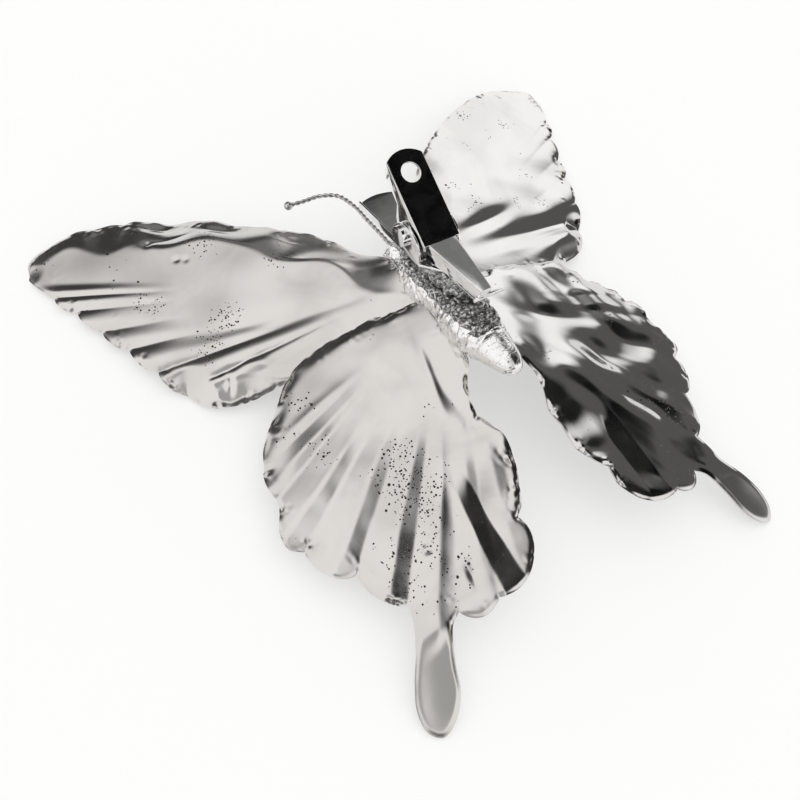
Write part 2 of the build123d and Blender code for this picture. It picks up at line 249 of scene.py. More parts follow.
def add_object(name: str, verts: np.ndarray, faces: list, material: bpy.types.Material) -> bpy.types.Object:
    """Makes a smooth-shaded mesh object in the scene.

    Args:
        name: Name of the piece.
        verts: Rows of x, y, z in metres.
        faces: Corner numbers of each face.
        material: Finish of the piece.

    Returns:
        The new object.
    """
    mesh = bpy.data.meshes.new(name)
    mesh.from_pydata(np.asarray(verts, float).tolist(), [], faces)
    mesh.validate()
    tidy = bmesh.new()
    tidy.from_mesh(mesh)
    bmesh.ops.recalc_face_normals(tidy, faces=tidy.faces)
    tidy.to_mesh(mesh)
    tidy.free()
    mesh.shade_smooth()
    mesh.materials.append(material)
    piece = bpy.data.objects.new(name, mesh)
    bpy.context.scene.collection.objects.link(piece)
    return piece


def tube(path: np.ndarray, radii: np.ndarray, sides: int) -> tuple[np.ndarray, list]:
    """Closed round tube along a path, with a rounded cap at each end.

    Args:
        path: Rows of x, y, z along the middle.
        radii: Radius at each row.
        sides: Number of sides.

    Returns:
        The corner rows and the faces.
    """
    tangent = np.gradient(path, axis=0)
    tangent /= np.linalg.norm(tangent, axis=1)[:, None]
    side = np.cross(tangent[0], [0.0, 0.3, 1.0])
    verts, faces = [], []
    turn = np.linspace(0.0, 2 * np.pi, sides, endpoint=False)
    for centre, direction, radius in zip(path, tangent, radii):
        side = side - direction * (side @ direction)
        side /= np.linalg.norm(side)
        other = np.cross(direction, side)
        verts.append(centre + radius * (np.cos(turn)[:, None] * side + np.sin(turn)[:, None] * other))
    for ring in range(len(path) - 1):
        for k in range(sides):
            after = (k + 1) % sides
            faces.append((ring * sides + k, ring * sides + after, (ring + 1) * sides + after,
                          (ring + 1) * sides + k))
    rows = np.vstack(verts + [path[:1] - tangent[:1] * radii[0] * 0.5,
                              path[-1:] + tangent[-1:] * radii[-1] * 0.5])
    first, last = len(rows) - 2, len(rows) - 1
    base = (len(path) - 1) * sides
    for k in range(sides):
        after = (k + 1) % sides
        faces.append((after, k, first))
        faces.append((base + k, base + after, last))
    return rows, faces


def join_shapes(shapes: list[tuple[np.ndarray, list]]) -> tuple[np.ndarray, list]:
    """Puts several corner and face lists into one."""
    rows, faces, start = [], [], 0
    for corners, loops in shapes:
        rows.append(corners)
        faces += [tuple(start + index for index in loop) for loop in loops]
        start += len(corners)
    return np.vstack(rows), faces


def ball(centre: Point3, size: Point3, rings: int = 24, power: float = 1.0) -> tuple[np.ndarray, list]:
    """Ellipsoid, or a squarer lozenge when power is under 1.

    Args:
        centre: Its middle.
        size: Half its length along each axis.
        rings: Rings from pole to pole, with twice as many sides.
        power: Roundness of the section.

    Returns:
        The corner rows and the faces.
    """
    lat = np.linspace(-np.pi / 2, np.pi / 2, rings + 1)[1:-1]
    lon = np.linspace(0.0, 2 * np.pi, 2 * rings, endpoint=False)

    def bulge(value: np.ndarray) -> np.ndarray:
        """Pulls a coordinate out towards the corners of a box."""
        return np.sign(value) * np.abs(value) ** power

    rows = [(bulge(np.cos(a)) * bulge(np.cos(b)), np.sin(a) if power == 1 else bulge(np.sin(a)),
             bulge(np.cos(a)) * bulge(np.sin(b))) for a in lat for b in lon]
    rows = np.vstack([np.array(rows), [[0, -1, 0], [0, 1, 0]]])
    sides = len(lon)
    faces = []
    for ring in range(len(lat) - 1):
        for k in range(sides):
            after = (k + 1) % sides
            faces.append((ring * sides + k, (ring + 1) * sides + k, (ring + 1) * sides + after,
                          ring * sides + after))
    last = (len(lat) - 1) * sides
    for k in range(sides):
        after = (k + 1) % sides
        faces.append((k, after, len(rows) - 2))
        faces.append((last + after, last + k, len(rows) - 1))
    return rows * np.array(size) + np.array(centre), faces


# ---------------------------------------------------------------- shader groups
class Nodes:
    """Small helper that adds and wires shader nodes in one tree."""

    def __init__(self, tree: bpy.types.NodeTree) -> None:
        """Keeps the tree to work in."""
        self.tree = tree

    def add(self, kind: str, **values: object) -> bpy.types.Node:
        """Adds a node and sets its properties.

        Args:
            kind: Blender's name of the node type.
            **values: Properties of the node.

        Returns:
            The node.
        """
        node = self.tree.nodes.new(kind)
        for name, value in values.items():
            setattr(node, name, value)
        return node

    def link(self, source: bpy.types.NodeSocket, target: bpy.types.NodeSocket) -> None:
        """Wires an output to an input."""
        self.tree.links.new(source, target)

    def math(self, operation: str, a: object, b: object = 0.0) -> bpy.types.NodeSocket:
        """Adds a Math node.

        Args:
            operation: The node's operation.
            a: First socket or number.
            b: Second socket or number.

        Returns:
            The result's socket.
        """
        node = self.add("ShaderNodeMath", operation=operation)
        for socket, value in zip(node.inputs, (a, b)):
            if isinstance(value, bpy.types.NodeSocket):
                self.link(value, socket)
            else:
                socket.default_value = value
        return node.outputs[0]

    def spread(self, value: bpy.types.NodeSocket, low: float, high: float, out_low: float,
               out_high: float) -> bpy.types.NodeSocket:
        """Adds a smooth Map Range node and returns its result."""
        node = self.add("ShaderNodeMapRange", interpolation_type="SMOOTHSTEP")
        self.link(value, node.inputs["Value"])
        for name, number in zip(("From Min", "From Max", "To Min", "To Max"), (low, high, out_low, out_high)):
            node.inputs[name].default_value = number
        return node.outputs["Result"]

    def blend(self, mask: bpy.types.NodeSocket, first: object, second: object) -> bpy.types.NodeSocket:
        """Mixes two colours or colour sockets by a mask and returns the result."""
        node = self.add("ShaderNodeMix", data_type="RGBA")
        self.link(mask, node.inputs["Factor"])
        for socket, value in ((node.inputs[6], first), (node.inputs[7], second)):
            if isinstance(value, bpy.types.NodeSocket):
                self.link(value, socket)
            else:
                socket.default_value = (*value, 1.0)
        return node.outputs[2]

    def bumps(self, steps: list[tuple[bpy.types.NodeSocket, float]]) -> bpy.types.NodeSocket:
        """Chains Bump nodes.

        Args:
            steps: Height sockets with the depth of each in metres.

        Returns:
            The normal's socket.
        """
        normal = None
        for height, depth in steps:
            node = self.add("ShaderNodeBump")
            node.inputs["Strength"].default_value = 1.0
            node.inputs["Distance"].default_value = depth
            self.link(height, node.inputs["Height"])
            if normal is not None:
                self.link(normal, node.inputs["Normal"])
            normal = node.outputs["Normal"]
        return normal


class GroupKind(Enum):
    """The shared surface effects."""

    PITS = "plating_pits"
    CLOUD = "tarnish_cloud"
    GRAIN = "casting_grain"


class GroupShelf:
    """Builds each shared node group once and hands it out."""

    def __init__(self) -> None:
        """Starts with no group built."""
        self.built: dict[GroupKind, bpy.types.NodeTree] = {}

    def _new(self, kind: GroupKind, inputs: dict[str, float], outputs: list[str]) -> tuple[Nodes, dict, dict]:
        """Starts a group with a Vector input, float inputs and float outputs."""
        tree = bpy.data.node_groups.new(kind.value, "ShaderNodeTree")
        tree.interface.new_socket("Vector", in_out="INPUT", socket_type="NodeSocketVector")
        for name, value in inputs.items():
            tree.interface.new_socket(name, in_out="INPUT",
                                      socket_type="NodeSocketFloat").default_value = value
        for name in outputs:
            tree.interface.new_socket(name, in_out="OUTPUT", socket_type="NodeSocketFloat")
        nodes = Nodes(tree)
        source, target = nodes.add("NodeGroupInput"), nodes.add("NodeGroupOutput")
        self.built[kind] = tree
        return nodes, source.outputs, target.inputs

    def _pits(self) -> None:
        """Small dark pits in drifts, as in thin plating."""
        nodes, given, result = self._new(GroupKind.PITS, {"Scale": 900.0, "Drift Scale": 60.0, "Cover": 0.5,
                                                          "Size": 0.2}, ["Mask", "Height"])
        cells = nodes.add("ShaderNodeTexVoronoi", feature="F1")
        nodes.link(given["Vector"], cells.inputs["Vector"])
        nodes.link(given["Scale"], cells.inputs["Scale"])
        drift = nodes.add("ShaderNodeTexNoise")
        nodes.link(given["Vector"], drift.inputs["Vector"])
        nodes.link(given["Drift Scale"], drift.inputs["Scale"])
        drift.inputs["Detail"].default_value = 3.0
        tone = nodes.add("ShaderNodeSeparateColor")
        nodes.link(cells.outputs["Color"], tone.inputs["Color"])
        chance = nodes.math("MULTIPLY", nodes.math("SUBTRACT", drift.outputs["Fac"], 0.5), 3.0)
        chance = nodes.math("ADD", chance, given["Cover"])
        chosen = nodes.math("LESS_THAN", tone.outputs["Red"], chance)
        size = nodes.math("MULTIPLY", given["Size"], nodes.math("ADD", tone.outputs["Green"], 0.35))
        dot = nodes.math("SUBTRACT", size, cells.outputs["Distance"])
        dot = nodes.spread(dot, 0.0, 0.06, 0.0, 1.0)
        mask = nodes.math("MULTIPLY", dot, chosen)
        nodes.link(mask, result["Mask"])
        nodes.link(nodes.math("SUBTRACT", 1.0, mask), result["Height"])

    def _cloud(self) -> None:
        """Slow change of tone and polish."""
        nodes, given, result = self._new(GroupKind.CLOUD, {"Scale": 60.0, "Contrast": 1.0},
                                         ["Mask", "Height"])
        noise = nodes.add("ShaderNodeTexNoise")
        nodes.link(given["Vector"], noise.inputs["Vector"])
        nodes.link(given["Scale"], noise.inputs["Scale"])
        noise.inputs["Detail"].default_value = 4.0
        noise.inputs["Distortion"].default_value = 0.6
        away = nodes.math("MULTIPLY", nodes.math("SUBTRACT", noise.outputs["Fac"], 0.5), given["Contrast"])
        mask = nodes.spread(away, -0.2, 0.2, 0.0, 1.0)
        nodes.link(mask, result["Mask"])
        nodes.link(noise.outputs["Fac"], result["Height"])

    def _grain(self) -> None:
        """Coarse crinkled grain of an unpolished casting."""
        nodes, given, result = self._new(GroupKind.GRAIN, {"Scale": 900.0, "Sharpness": 1.0, "Bias": 0.0},
                                         ["Mask", "Height"])
        noise = nodes.add("ShaderNodeTexNoise")
        nodes.link(given["Vector"], noise.inputs["Vector"])
        nodes.link(given["Scale"], noise.inputs["Scale"])
        noise.inputs["Detail"].default_value = 6.0
        noise.inputs["Roughness"].default_value = 0.65
        cracks = nodes.add("ShaderNodeTexVoronoi", feature="DISTANCE_TO_EDGE")
        nodes.link(given["Vector"], cracks.inputs["Vector"])
        nodes.link(nodes.math("MULTIPLY", given["Scale"], 0.6), cracks.inputs["Scale"])
        edge = nodes.spread(cracks.outputs["Distance"], 0.0, 0.12, 0.0, 1.0)
        sharp = nodes.math("MULTIPLY", nodes.math("SUBTRACT", noise.outputs["Fac"], 0.5), given["Sharpness"])
        nodes.link(nodes.spread(nodes.math("ADD", sharp, given["Bias"]), -0.1, 0.1, 0.0, 1.0), result["Mask"])
        nodes.link(nodes.math("ADD", nodes.math("MULTIPLY", edge, 0.35), noise.outputs["Fac"]),
                   result["Height"])

    def place(self, nodes: Nodes, kind: GroupKind, **values: float) -> bpy.types.Node:
        """Places a shared group in a material, fed with object coordinates.

        Args:
            nodes: The material's tree.
            kind: Which effect.
            **values: Values of its inputs, with spaces written as underscores.

        Returns:
            The group's node.
        """
        if kind not in self.built:
            {GroupKind.PITS: self._pits, GroupKind.CLOUD: self._cloud, GroupKind.GRAIN: self._grain}[kind]()
        node = nodes.add("ShaderNodeGroup", node_tree=self.built[kind])
        place = nodes.add("ShaderNodeTexCoord")
        nodes.link(place.outputs["Object"], node.inputs["Vector"])
        for name, value in values.items():
            node.inputs[name.replace("_", " ")].default_value = value
        return node


shelf = GroupShelf()


# ---------------------------------------------------------------- finishes
def metal(name: str, roughness: float) -> tuple[bpy.types.Material, Nodes, bpy.types.Node]:
    """Starts a metal material.

    Args:
        name: Name of the material.
        roughness: Plain roughness, used where no node feeds the socket.

    Returns:
        The material, its node helper and its Principled node.
    """
    material = bpy.data.materials.new(name)
    material.use_nodes = True
    nodes = Nodes(material.node_tree)
    shader = material.node_tree.nodes["Principled BSDF"]
    shader.inputs["Metallic"].default_value = 1.0
    shader.inputs["Roughness"].default_value = roughness
    return material, nodes, shader


@dataclass(frozen=True)
class SheetFinish:
    """Polished plated sheet with pits, faint clouding and a soft unevenness."""

    name: str
    tone: Point3
    dull_tone: Point3
    polish: float = 0.14
    dull: float = 0.24
    pitted: tuple[tuple[Point3, float], ...] = ()

    def _pitted(self, nodes: Nodes) -> bpy.types.NodeSocket:
        """Chance of a pit, high in a few patches of the sheet.

        Args:
            nodes: The material's tree.

        Returns:
            The chance's socket.
        """
        place = nodes.add("ShaderNodeTexCoord")
        chance = None
        for centre, reach in self.pitted:
            away = nodes.add("ShaderNodeVectorMath", operation="DISTANCE")
            nodes.link(place.outputs["Object"], away.inputs[0])
            away.inputs[1].default_value = centre
            near = nodes.spread(away.outputs["Value"], reach * 0.2, reach, 0.0, -0.75)
            chance = near if chance is None else nodes.math("MAXIMUM", chance, near)
        return chance

    def material(self) -> bpy.types.Material:
        """Builds the material."""
        material, nodes, shader = metal(self.name, self.polish)
        cloud = shelf.place(nodes, GroupKind.CLOUD, Scale=70.0, Contrast=1.2)
        pits = shelf.place(nodes, GroupKind.PITS, Scale=2300.0, Drift_Scale=150.0, Cover=0.0, Size=0.36)
        large = shelf.place(nodes, GroupKind.PITS, Scale=1200.0, Drift_Scale=190.0, Cover=0.0, Size=0.28)
        chance = self._pitted(nodes)
        nodes.link(nodes.math("ADD", chance, 0.46), pits.inputs["Cover"])
        nodes.link(nodes.math("ADD", chance, 0.20), large.inputs["Cover"])
        pitted = nodes.math("MAXIMUM", pits.outputs["Mask"], large.outputs["Mask"])
        tone = nodes.blend(cloud.outputs["Mask"], self.tone, self.dull_tone)
        nodes.link(nodes.blend(pitted, tone, (0.06, 0.055, 0.05)), shader.inputs["Base Color"])
        rough = nodes.spread(cloud.outputs["Mask"], 0.0, 1.0, self.polish, self.dull)
        nodes.link(nodes.math("ADD", rough, nodes.math("MULTIPLY", pitted, 0.4)), shader.inputs["Roughness"])
        fine = shelf.place(nodes, GroupKind.CLOUD, Scale=260.0, Contrast=1.0)
        normal = nodes.bumps([(fine.outputs["Height"], 0.000012), (pits.outputs["Height"], 0.00004)])
        nodes.link(normal, shader.inputs["Normal"])
        return material


@dataclass(frozen=True)
class CastFinish:
    """Plated casting or solder with a crinkled grain."""

    name: str
    tone: Point3
    shade: Point3
    grain_scale: float
    grain_depth: float
    polish: float = 0.18
    dull: float = 0.45
    brightness: float = 0.0

    def material(self) -> bpy.types.Material:
        """Builds the material."""
        material, nodes, shader = metal(self.name, self.polish)
        grain = shelf.place(nodes, GroupKind.GRAIN, Scale=self.grain_scale, Sharpness=1.2,
                            Bias=self.brightness)
        cloud = shelf.place(nodes, GroupKind.CLOUD, Scale=300.0, Contrast=1.2)
        nodes.link(nodes.blend(grain.outputs["Mask"], self.shade, self.tone), shader.inputs["Base Color"])
        nodes.link(nodes.spread(cloud.outputs["Mask"], 0.0, 1.0, self.polish, self.dull),
                   shader.inputs["Roughness"])
        normal = nodes.bumps([(cloud.outputs["Height"], self.grain_depth),
                              (grain.outputs["Height"], self.grain_depth)])
        nodes.link(normal, shader.inputs["Normal"])
        return material


@dataclass(frozen=True)
class PlatedFinish:
    """Bright plated steel with light handling marks."""

    name: str
    tone: Point3
    polish: float = 0.04
    dull: float = 0.12

    def material(self) -> bpy.types.Material:
        """Builds the material."""
        material, nodes, shader = metal(self.name, self.polish)
        cloud = shelf.place(nodes, GroupKind.CLOUD, Scale=420.0, Contrast=1.0)
        pits = shelf.place(nodes, GroupKind.PITS, Scale=3000.0, Drift_Scale=160.0, Cover=-0.25, Size=0.2)
        worn = tuple(value * 0.86 for value in self.tone)
        tone = nodes.blend(cloud.outputs["Mask"], self.tone, worn)
        nodes.link(nodes.blend(pits.outputs["Mask"], tone, (0.12, 0.115, 0.11)), shader.inputs["Base Color"])
        nodes.link(nodes.spread(cloud.outputs["Mask"], 0.0, 1.0, self.polish, self.dull),
                   shader.inputs["Roughness"])
        nodes.link(nodes.bumps([(cloud.outputs["Height"], 0.00001)]), shader.inputs["Normal"])
        return material


@dataclass(frozen=True)
class FloorFinish:
    """Plain matt paper."""

    name: str = "paper_floor"
    tone: Point3 = (0.52, 0.52, 0.52)
    glow: float = 0.42

    def material(self) -> bpy.types.Material:
        """Builds the material."""
        material, nodes, shader = metal(self.name, 0.8)
        shader.inputs["Metallic"].default_value = 0.0
        shader.inputs["Specular IOR Level"].default_value = 0.1
        cloud = shelf.place(nodes, GroupKind.CLOUD, Scale=12.0, Contrast=0.6)
        paler = tuple(value * 0.995 for value in self.tone)
        nodes.link(nodes.blend(cloud.outputs["Mask"], self.tone, paler), shader.inputs["Base Color"])
        shader.inputs["Emission Color"].default_value = (1.0, 1.0, 1.0, 1.0)
        shader.inputs["Emission Strength"].default_value = self.glow
        return material


# ---------------------------------------------------------------- wings
@dataclass(frozen=True)
class Dent:
    """Long soft crease or swelling of a wing sheet."""

    centre: Point2
    length: float
    width: float
    angle: float
    depth: float

    def at(self, points: np.ndarray) -> np.ndarray:
        """Height of the dent at rows of x, y in millimetres."""
        turn = math.radians(self.angle)
        away = points - np.array(self.centre)
        along = away @ np.array([math.cos(turn), math.sin(turn)])
        across = away @ np.array([-math.sin(turn), math.cos(turn)])
        return self.depth * np.exp(-((along / self.length) ** 2) - (across / self.width) ** 2)


@dataclass
class WingSheet:
    """What the four wings share: a pressed sheet cut to an outline and bent to a height."""

    side: Side
    seed: int
    ripple_height: float
    fold_depth: float
    dents: list[Dent] = field(default_factory=list)
    spacing: float = 0.36
    rim_spacing: float = 0.2
    rim_band: float = 1.1
    rim_drop: float = 0.24
    rim_width: float = 0.5
    thickness: float = 0.3
    root_level: float = -2.1
    drop: float = 0.275
    rise: float = 0.068
    hub: Point2 = (0.0, 8.0)

    def outline(self) -> np.ndarray:
        """Closed outline of the right-hand wing, anticlockwise, in millimetres."""
        raise NotImplementedError

    def height(self, points: np.ndarray) -> np.ndarray:
        """Height of the sheet at rows of x, y of the right-hand wing."""
        raise NotImplementedError

    def plane(self, points: np.ndarray) -> np.ndarray:
        """Height of the plane that both wings of a side follow."""
        return self.root_level - self.drop * points[:, 0] + self.rise * points[:, 1]

    def angle(self, points: np.ndarray) -> np.ndarray:
        """Angle of each point seen from the hub, in degrees."""
        away = points - np.array(self.hub)
        return np.degrees(np.arctan2(away[:, 1], away[:, 0]))

    def reach(self, points: np.ndarray) -> np.ndarray:
        """Distance of each point from the hub."""
        return np.hypot(*(points - np.array(self.hub)).T)

    def fold_phase(self, points: np.ndarray, notches: tuple[Point2, ...]) -> tuple[np.ndarray, np.ndarray]:
        """Place of each point among the pleats, which run from the hub to the notches.

        Args:
            points: Rows of x, y.
            notches: The margin's notches in order of rising angle from the hub.

        Returns:
            The fraction of a pleat that each point lies at, and a mask that fades at the ends of the fan.
        """
        marks = list(self.angle(np.array(notches)))
        first, last = marks[1] - marks[0], marks[-1] - marks[-2]
        marks = [marks[0] - first] + marks + [marks[-1] + last]
        angle = self.angle(points)
        phase = np.interp(angle, marks, np.arange(len(marks), dtype=float))
        sway = np.sin(self.reach(points) * 0.22 + np.floor(phase) * 2.1)
        phase += 0.035 * sway * (1 - np.abs(phase % 1 - 0.5) * 2)
        ends = smoothstep(marks[0], marks[0] + first, angle)
        ends = ends * (1 - smoothstep(marks[-1] - last, marks[-1], angle))
        return phase % 1.0, ends

    def worked(self, points: np.ndarray) -> np.ndarray:
        """Share of the rim's unevenness at each row of x, y."""
        return np.ones(len(points))

    def dressed(self, points: np.ndarray, ring: np.ndarray) -> np.ndarray:
        """Height with the turned-down rim and the dents.

        Args:
            points: Rows of x, y.
            ring: The outline.

        Returns:
            One height for each row.
        """
        away = edge_distance(points, ring, True)
        worked = self.worked(points)
        waver = Ripple(self.seed + 7, 5.0).at(points) * worked
        wrinkle = Ripple(self.seed + 8, 1.7).at(points) * worked
        turned_rim = self.rim_drop * (1 + 0.7 * waver) * np.exp(-((away / self.rim_width) ** 2))
        total = self.height(points) - turned_rim
        total += 0.07 * wrinkle * smoothstep(0.2, 1.4, waver) * np.exp(-((away / 2.2) ** 2))
        for dent in self.dents:
            total += dent.at(points)
        return total

    def lattice(self, ring: np.ndarray, spacing: float) -> np.ndarray:
        """Triangular lattice inside a ring.

        Args:
            ring: Rows of x, y round the ring.
            spacing: Distance between neighbours.

        Returns:
            Rows of x, y.
        """
        low, high = ring.min(axis=0), ring.max(axis=0)
        step = spacing * math.sqrt(0.75)
        rows = []
        for row in range(int((high[1] - low[1]) / step) + 1):
            xs = np.arange(low[0] + (row % 2) * spacing / 2, high[0], spacing)
            rows.append(np.column_stack([xs, np.full(len(xs), low[1] + row * step)]))
        grid = np.vstack(rows)
        return grid[inside(grid, ring)]

    def build(self, name: str, material: bpy.types.Material) -> bpy.types.Object:
        """Cuts, bends and thickens the sheet.

        Args:
            name: Name of the piece.
            material: Its finish.

        Returns:
            The wing.
        """
        ring = self.outline()
        coarse = self.lattice(ring, self.spacing)
        coarse = coarse[edge_distance(coarse, ring, True) > self.rim_band]
        fine = self.lattice(ring, self.rim_spacing)
        away = edge_distance(fine, ring, True)
        fine = fine[(away > self.rim_spacing * 0.6) & (away <= self.rim_band)]
        points = np.vstack([ring, coarse, fine])
        edges = [(k, (k + 1) % len(ring)) for k in range(len(ring))]
        cut = geometry.delaunay_2d_cdt([Vector(p) for p in points], edges, [], 1, 1e-5)
        flat = np.array([tuple(v) for v in cut[0]])
        rows = np.column_stack([flat[:, 0] * self.side.value, flat[:, 1], self.dressed(flat, ring)])
        piece = add_object(name, space.level(rows), [tuple(f) for f in cut[2]], material)
        self._thicken(piece)
        return piece

    def _thicken(self, piece: bpy.types.Object) -> None:
        """Gives the sheet its thickness, with a crisp rim."""
        solid = piece.modifiers.new("thickness", "SOLIDIFY")
        solid.thickness = self.thickness * MM
        solid.offset = 0.0
        solid.use_even_offset = True
        bpy.context.view_layer.update()
        shaped = bpy.data.meshes.new_from_object(piece.evaluated_get(bpy.context.evaluated_depsgraph_get()))
        piece.modifiers.clear()
        piece.data = shaped
        shaped.shade_smooth()
        shaped.set_sharp_from_angle(angle=math.radians(50))


@dataclass
class Forewing(WingSheet):
    """Front wing: a long blade with a rolled leading edge, six scallops and a turned-down rear corner."""

    notches: tuple[Point2, ...] = ((45.5, 12.0), (48.2, 17.8), (50.7, 24.6), (53.4, 30.5), (55.7, 36.8),
                                   (58.3, 41.6))
    tip: Point2 = (61.0, 49.6)
    roll_slope: float = 0.56
    roll_width: float = 8.8
    corner_slope: float = 0.42
    corner_width: float = 4.4

    def leading_edge(self) -> np.ndarray:
        """Leading edge from the tip back to the root."""
        return smooth_path([self.tip, (60.3, 51.6), (57.6, 52.6), (52.0, 53.0), (44.5, 52.2), (36.0, 49.0),
                            (27.6, 44.0),
                            (20.0, 38.2), (13.0, 31.4), (7.0, 23.4), (2.5, 14.5)], self.rim_spacing * 1.5)

    def trailing_edge(self) -> np.ndarray:
        """Trailing edge from the root to the rear corner."""
        return smooth_path([(2.5, 2.6), (9.0, 2.4), (16.0, 2.6), (28.0, 3.6), (34.3, 4.6), (40.0, 6.0),
                            (43.6, 8.4),
                            self.notches[0]], self.rim_spacing * 1.5)

    def outline(self) -> np.ndarray:
        """Closed outline, anticlockwise from the root's rear corner."""
        parts = [self.trailing_edge()[:-1]]
        stops = list(self.notches) + [self.tip]
        for k, (start, end) in enumerate(zip(stops, stops[1:])):
            rise = 1.1 if k < len(stops) - 2 else 0.7
            parts.append(lobe(end, start, rise, self.rim_spacing * 1.5, 0.4)[::-1])
        parts.append(self.leading_edge()[1:])
        ring = np.vstack(parts)
        keep = np.linalg.norm(ring - np.roll(ring, 1, axis=0), axis=1) > 0.05
        return ring[keep]

    def height(self, points: np.ndarray) -> np.ndarray:
        """Plane, rolled front, turned-down rear corner, pleats and ripple."""
        reach, angle = self.reach(points), self.angle(points)
        waver = Ripple(self.seed + 1, 16.0).at(points)
        front = edge_distance(points, self.leading_edge(), False)
        width = self.roll_width * (1 + 0.10 * waver) * (1 - 0.6 * smoothstep(58.0, 68.0, reach))
        slope = self.roll_slope * smoothstep(3.0, 16.0, reach) * (1 - 0.35 * smoothstep(50.0, 66.0, reach))
        over = np.maximum(width - front, 0.0)
        roll = slope * np.where(over > 1.2, over - 0.6, over**2 / 2.4)
        rear = edge_distance(points, self.trailing_edge(), False)
        corner = self.corner_width * smoothstep(26.0, 37.0, points[:, 0])
        over = np.maximum(corner - rear, 0.0)
        turned = self.corner_slope * np.where(over > 1.0, over - 0.5, over**2 / 2.0)
        phase, ends = self.fold_phase(points, self.notches)
        start = 14.0 + 30.0 * smoothstep(4.0, 26.0, angle)
        arc = 1 - (2 * phase - 1) ** 2
        pleats = self.fold_depth * arc * ends * smoothstep(0.0, 26.0, reach - start)
        pleats *= smoothstep(2.0, 9.0, front)
        pleats *= smoothstep(-1.0, 2.5, rear - corner * 0.6)
        ripple = self.ripple_height * Ripple(self.seed, 12.0).at(points) * smoothstep(2.0, 14.0, reach)
        return self.plane(points) - roll - turned + pleats + ripple


